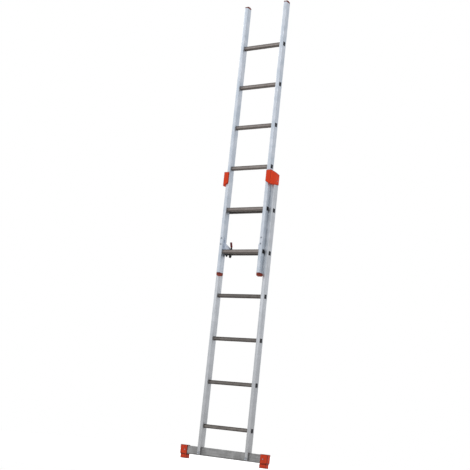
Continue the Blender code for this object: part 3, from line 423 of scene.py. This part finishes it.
def finish_piece(shape, name, material, body):
    """Turn a bmesh into a piece that rides on a body and has a finish."""
    mesh = bpy.data.meshes.new(name)
    shape.to_mesh(mesh)
    shape.free()
    mesh.materials.append(material)
    piece = bpy.data.objects.new(name, mesh)
    bpy.context.scene.collection.objects.link(piece)
    shade(piece)
    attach(piece, body)
    return piece


# %% Copies with soft edges
WELD = 0.005              # mm
FLAT_WITHIN = radians(0.4)


def merged_copy(node_name):
    """A bmesh of a solid with its triangles merged into flat faces."""
    shape = bmesh.new()
    shape.from_mesh(NODES[node_name].data)
    bmesh.ops.remove_doubles(shape, verts=shape.verts, dist=WELD * MM)
    bmesh.ops.dissolve_limit(shape, angle_limit=FLAT_WITHIN, verts=shape.verts,
                             edges=shape.edges)
    return shape


def softened(node_name, width, material, slot, segments=2, angle=55, reshape=None):
    """Replace a solid by its copy with rounded edges.

    The width is in mm, and comes out smaller where a face is too narrow for it.
    """
    shape = merged_copy(node_name)
    if reshape:
        reshape(shape)
    sharp = [edge for edge in shape.edges
             if edge.is_manifold and edge.calc_face_angle(0.0) > radians(angle)]
    bmesh.ops.bevel(shape, geom=sharp, offset=width * MM, segments=segments, profile=0.5,
                    affect="EDGES", clamp_overlap=True)
    piece = finish_piece(shape, node_name + "_finished", material,
                         NODES[node_name]["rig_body"])
    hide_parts(node_name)
    return piece


def softened_pair(stem, width, material, slot, **options):
    made = [softened(stem + word, width, material, slot, **options) for word, _ in SIDES]
    print(stem + "left and right:", len(made[0].data.polygons), "faces each")
    return made


print("edges stay sharp from", round(SMOOTH_UP_TO * 180 / pi), "degrees")

# %% [markdown]
# ## Stiles, bar and rungs
# These are sawn from long extrusions. Only their cut ends and holes need a soft edge, since the
# rounded corners along the length come with the solid and are smoothed by their shading.

# %% Finish the aluminium
softened_pair("upper_stile_", 0.3, upper_aluminium, "stile_aluminium", segments=1)
softened_pair("lower_stile_", 0.3, lower_aluminium, "stile_aluminium", segments=1)
softened("stabiliser_bar", 0.3, bar_aluminium, "stile_aluminium", segments=1)
for section in SECTIONS:
    for rung in rungs(section):
        softened(rung, 0.2, RUNG_FINISH[section], "rung_aluminium", segments=1, angle=35)
print("finished", len(rungs("upper")) + len(rungs("lower")), "rungs")

# %% [markdown]
# ## Rims and plugs at the rungs
# A rung is fixed by pressing its wall outwards on the inner side of the stile, which leaves a
# raised rim round the rung. On the outer side the open tube is closed by a black plug with a
# thin flange and a dished middle. Both are rounded rectangles at several depths joined by a
# skin, so one function makes them: each section is a depth, a height, a corner radius and a
# distance out from the stile.

# %% Join rounded rectangles by a skin
def rounded_rectangle(depth, height, corner, steps=4):
    """Points (y, z) of a rounded rectangle about the origin, in mm."""
    points = []
    for quarter, (front, up) in enumerate(((1, 1), (-1, 1), (-1, -1), (1, -1))):
        for step in range(steps + 1):
            turn = (quarter + step / steps) * pi / 2
            points.append((front * (depth / 2 - corner) + corner * cos(turn),
                           up * (height / 2 - corner) + corner * sin(turn)))
    return points


def skin(sections, centre, outward, ring=False):
    """Skin along X through sections of (depth, height, corner, out). A ring has no ends."""
    shape = bmesh.new()
    loops = []
    for depth, height, corner, out in sections:
        loops.append([shape.verts.new(centre + Vector((outward * out, y, z)) * MM)
                      for y, z in rounded_rectangle(depth, height, corner)])
    for inner, outer in zip(loops, loops[1:] + loops[:1] if ring else loops[1:]):
        for i in range(len(inner)):
            shape.faces.new((inner[i - 1], inner[i], outer[i], outer[i - 1]))
    if not ring:
        shape.faces.new(loops[0])
        shape.faces.new(loops[-1])
    bmesh.ops.recalc_face_normals(shape, faces=shape.faces)
    return shape


print("a rounded rectangle has", len(rounded_rectangle(2.0, 1.0, 0.2)), "points")

# %% Press the rims and push in the plugs
HOLE = 24.3               # mm square, just clear of the rung
RIM = 27.0
RIM_PROUD = 0.9
SUNK = 0.4                # a rim starts this deep inside the stile's wall
ROUNDED = 0.8             # rounding takes this off a width
PLUG = (24.0, 27.0)       # flange, front to back and height
PLUG_PROUD = 0.8
SPIGOT = 20.0             # the part inside the rung
SPIGOT_LENGTH = 6.0
DISH = 6.0                # the dished middle is this much smaller than the flange

RIM_SECTIONS = ((HOLE, HOLE, 2.0, SUNK), (HOLE, HOLE, 2.0, -0.7 * RIM_PROUD),
                (HOLE + ROUNDED, HOLE + ROUNDED, 2.2, -RIM_PROUD),
                (RIM - ROUNDED, RIM - ROUNDED, 2.8, -RIM_PROUD),
                (RIM, RIM, 3.2, -0.4 * RIM_PROUD), (RIM, RIM, 3.2, SUNK))
wide, tall = PLUG
PLUG_SECTIONS = ((SPIGOT, SPIGOT, 1.0, -SPIGOT_LENGTH), (SPIGOT, SPIGOT, 1.0, 0.0),
                 (wide, tall, 2.0, 0.0), (wide, tall, 2.0, 0.4 * PLUG_PROUD),
                 (wide - ROUNDED, tall - ROUNDED, 1.6, PLUG_PROUD),
                 (wide - DISH + 1, tall - DISH + 1, 1.2, PLUG_PROUD),
                 (wide - DISH, tall - DISH, 1.0, 0.1 * PLUG_PROUD))

for section in SECTIONS:
    for word, side in SIDES:
        low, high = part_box(f"{section}_stile_{word}")
        inner_x, outer_x = sorted((low.x, high.x), key=abs)
        for rung in rungs(section):
            middle = sum(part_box(rung), Vector()) / 2
            rim = skin(RIM_SECTIONS, Vector((inner_x, middle.y, middle.z)), side, ring=True)
            finish_piece(rim, f"{rung}_rim_{word}", rim_aluminium,
                         section + "_section")
            plug = skin(PLUG_SECTIONS, Vector((outer_x, middle.y, middle.z)), side)
            finish_piece(plug, f"{rung}_plug_{word}", black_plastic,
                         section + "_section")
print("made", 2 * len(rungs("lower") + rungs("upper")), "rims and as many plugs")

# %% [markdown]
# ## Guides and caps
# The guides have generous mould radii. The caps are small and domed, and take a darker brick red
# copy of the same plastic as painted shade, so they share the grain and not the colour.

# %% Finish the guides and caps
softened_pair("stile_guide_", 2.8, orange_plastic, "orange_plastic", segments=3)
softened_pair("upper_top_cap_", 0.6, shaded_cap_plastic, "orange_plastic", angle=35)
softened_pair("upper_foot_cap_", 0.6, shaded_cap_plastic, "orange_plastic", angle=35)

# %% [markdown]
# ## Feet
# A foot is a cap on the bar's end with a narrower pad under it. The cap's outer lower edge slopes
# in to the pad, and the sole has grooves from front to back, so that water leaves and the foot
# grips. The slope is made by lifting the cap's lower outer corners, and the grooves are cut by a
# Boolean, which keeps the piece one closed body.

# %% Slope the cap
SLOPE = 7.0               # mm
END_FACE = 3.0            # the cap's end face lies this close to its farthest point
LOWER_EDGE = 2.5          # and the end's lower edge this close to its lowest point


def slope_cap(shape):
    """Lift the cap's lower outer corners."""
    far = max(abs(v.co.x) for v in shape.verts)
    end = [vert for vert in shape.verts if abs(vert.co.x) > far - END_FACE * MM]
    bottom = min(vert.co.z for vert in end)
    for vert in end:
        if vert.co.z < bottom + LOWER_EDGE * MM:
            vert.co.z += SLOPE * MM


print("the cap slopes", SLOPE, "mm")

# %% Cut the grooves
GROOVE = 2.2              # mm
GROOVE_DEPTH = 1.8
GROOVE_PITCH = 6.8
GROOVES = 6
SOLE_INBOARD = 2.5        # from the foot's middle to the sole's
CUTTER_REACH = 100.0      # well past the front and the back


def tread_cutter(foot_name, side):
    """A row of bars, half of each inside the sole."""
    low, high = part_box(foot_name)
    shape = bmesh.new()
    middle = (low + high) / 2
    first = middle.x - side * SOLE_INBOARD * MM - GROOVE_PITCH * MM * (GROOVES - 1) / 2
    for i in range(GROOVES):
        place = Matrix.Translation((first + i * GROOVE_PITCH * MM, middle.y, low.z))
        size = Matrix.Diagonal((GROOVE * MM, CUTTER_REACH * MM, 2 * GROOVE_DEPTH * MM, 1.0))
        bmesh.ops.create_cube(shape, size=1.0, matrix=place @ size)
    mesh = bpy.data.meshes.new("tread_cutter")
    shape.to_mesh(mesh)
    shape.free()
    return bpy.data.objects.new("tread_cutter", mesh)


def cut_grooves(foot, cutter):
    """Cut the foot's mesh. Its normals are weighted afterwards, so that modifier waits."""
    cut = foot.modifiers.new("tread", "BOOLEAN")
    cut.object = cutter
    cut.solver = "EXACT"
    weigh = foot.modifiers["flat_faces_stay_flat"]
    weigh.show_viewport = False
    bpy.context.view_layer.update()
    evaluated = foot.evaluated_get(bpy.context.evaluated_depsgraph_get())
    foot.data = bpy.data.meshes.new_from_object(evaluated)
    weigh.show_viewport = True
    foot.modifiers.remove(cut)
    bpy.data.objects.remove(cutter)


print(GROOVES, "grooves", GROOVE_PITCH, "mm apart")

# %% Finish the feet
for word, side in SIDES:
    name = "stabiliser_foot_" + word
    foot = softened(name, 0.5, shaded_foot_plastic, "orange_plastic", angle=35, reshape=slope_cap)
    cut_grooves(foot, tread_cutter(name, side))
    print(foot.name, "has", len(foot.data.polygons), "faces")

# %% [markdown]
# ## Hooks, latches and fasteners
# The hook is cut from 4 mm plate, so its edges are only just broken. The grip is soft and gets
# a larger radius. Bolts, nuts, screws, pins and springs keep their solids and get a material and
# smooth shading, because their shapes are right as they are.

# %% Finish the steel and vinyl
softened_pair("rung_hook_", 0.5, zinc_plate, "zinc_steel")
softened_pair("latch_lever_", 0.5, black_steel, "black_steel")
softened_pair("latch_grip_", 1.6, red_vinyl, "red_plastic", segments=4)

FASTENERS = ("hook_bolt_", "bar_bolt_", "bar_nut_", "foot_screw_", "guide_screw_",
             "latch_pin_", "latch_spring_")
kept = [name for name in NODES if name.startswith(FASTENERS)]
for name in kept:
    fastener = NODES[name]
    fastener.data.materials.clear()
    fastener.data.materials.append(bolt_zinc)
    shade(fastener)
print("kept", len(kept), "fasteners")

# %% [markdown]
# ## Dipped tips
# The prongs are dipped in liquid rubber, which leaves a smooth coat all round and a rounded end.
# The solid model's tip is open on the side where the latch passes, so its copy here closes that
# side with a coat a quarter of a millimetre thick, which the latch still clears.

# %% Dip the prongs
COAT = 0.25               # mm
ROUND = 1.2               # rounding at the coat's two sides
TIP_CORNER = 2.4          # rounding of its outline


def dipped_tip(node_name, side):
    low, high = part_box(node_name)
    inner_x = min(low.x, high.x, key=abs)
    size = (high - low) / MM
    thick = size.x + COAT
    start = Vector((inner_x - side * COAT * MM, (low.y + high.y) / 2, (low.z + high.z) / 2))
    part = 0.3 * ROUND
    sections = [(size.y - 2 * cut, size.z - 2 * cut, TIP_CORNER - cut, out) for cut, out in
                ((ROUND, 0.0), (part, part), (0.0, ROUND), (0.0, thick - ROUND),
                 (part, thick - part), (ROUND, thick))]
    tip = finish_piece(skin(sections, start, side), node_name + "_dipped", black_rubber,
                       NODES[node_name]["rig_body"])
    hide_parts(node_name)


for word, side in SIDES:
    for place in ("front", "back"):
        dipped_tip(f"hook_tip_{place}_{word}", side)
print("dipped four prongs")

# %% [markdown]
# ## Studio
# A pale floor and an even pale surround suit bright metal, because metal shows what is round it.
# The surround is brighter to the front left than to the back right, so that the stiles' fronts
# read brighter than their sides, and what is seen directly behind the ladder is plain white.

# %% Surround
BRIGHT_FROM = Vector((-0.68, -0.68, 0.27))
world = bpy.data.worlds.new("studio")
bpy.context.scene.world = world
world.use_nodes = True
studio = world.node_tree
studio.nodes.clear()
around = add(studio, "TexCoord")
toward = add(studio, "VectorMath", {0: around.outputs["Generated"], 1: BRIGHT_FROM},
             operation="DOT_PRODUCT")
level = add(studio, "MapRange", {"Value": toward.outputs["Value"], "From Min": -1.0,
                                 "To Min": 0.76, "To Max": 0.95})
lit = add(studio, "Background", {"Color": linear("FAFBFF"), "Strength": level.outputs[0]})
plain = add(studio, "Background", {"Color": linear("FFFFFF"), "Strength": 1.0})
ray = add(studio, "LightPath")
choice = add(studio, "MixShader", {0: ray.outputs["Is Camera Ray"], 1: lit.outputs[0],
                                   2: plain.outputs[0]})
add(studio, "OutputWorld", {"Surface": choice.outputs[0]})
print("surround is brightest from", [round(c, 2) for c in BRIGHT_FROM])

# %% Floor
FLOOR_RADIUS = 2.2        # m
FLOOR_GAP = 0.2           # mm, so that the soles and the floor never share a plane
floor_shape = bmesh.new()
bmesh.ops.create_circle(floor_shape, cap_ends=True, segments=96, radius=FLOOR_RADIUS)
floor_mesh = bpy.data.meshes.new("studio_floor")
floor_shape.to_mesh(floor_mesh)
floor_shape.free()
floor = bpy.data.objects.new("studio_floor", floor_mesh)
floor.location.z = cad_low.z - FLOOR_GAP * MM
bpy.context.scene.collection.objects.link(floor)
floor_paint, _, floor_shader, _ = new_finish("pale_floor_paint", 0.0, 0.9)
floor_shader.inputs["Base Color"].default_value = linear("F4F4F2")
floor_shader.inputs["Emission Color"].default_value = linear("FFFFFF")
floor_shader.inputs["Emission Strength"].default_value = 0.5
floor_mesh.materials.append(floor_paint)
print("floor is", 2 * FLOOR_RADIUS, "m across")


# %% Lamps
def softbox(name, place, aim, size, power, colour):
    lamp = bpy.data.lights.new(name, "AREA")
    lamp.shape = "DISK"
    lamp.size = size
    lamp.energy = power
    lamp.color = linear(colour)[:3]
    holder = bpy.data.objects.new(name, lamp)
    holder.location = place
    holder.rotation_euler = (aim - Vector(place)).to_track_quat("-Z", "Y").to_euler()
    bpy.context.scene.collection.objects.link(holder)


middle = (cad_low + cad_high) / 2
softbox("key_softbox", (-4.4, -1.4, 5.2), middle, 2.6, 60.0, "FFFFFF")
softbox("side_softbox", (4.4, -1.0, 4.2), middle, 2.4, 45.0, "F4F7FF")
print("two softboxes")

# %% [markdown]
# ## Camera
# The camera stands low and to the right, looks a little up, and is rolled a few degrees, so the
# ladder leans across the frame. Its place is measured from the ladder's own origin.

# %% Camera
CAMERA_PLACE = Vector((3.5733, -5.3586, 0.2634))
CAMERA_TURN = 34.271        # degrees left of straight ahead
CAMERA_RISE = 10.395        # degrees above level
CAMERA_ROLL = 6.068         # degrees
CAMERA_LENS = 77.276        # mm, on a 36 mm sensor

camera_data = bpy.data.cameras.new("camera")
camera_data.lens = CAMERA_LENS
camera_data.sensor_width = 36.0
camera_data.clip_end = 60.0
camera = bpy.data.objects.new("camera", camera_data)
camera.matrix_world = (Matrix.Translation(CAMERA_PLACE)
                       @ Matrix.Rotation(radians(CAMERA_TURN), 4, "Z")
                       @ Matrix.Rotation(radians(90 + CAMERA_RISE), 4, "X")
                       @ Matrix.Rotation(radians(CAMERA_ROLL), 4, "Z"))
bpy.context.scene.collection.objects.link(camera)
bpy.context.scene.camera = camera
bpy.context.scene.view_settings.view_transform = "Standard"
print("camera at", [round(c, 3) for c in CAMERA_PLACE])
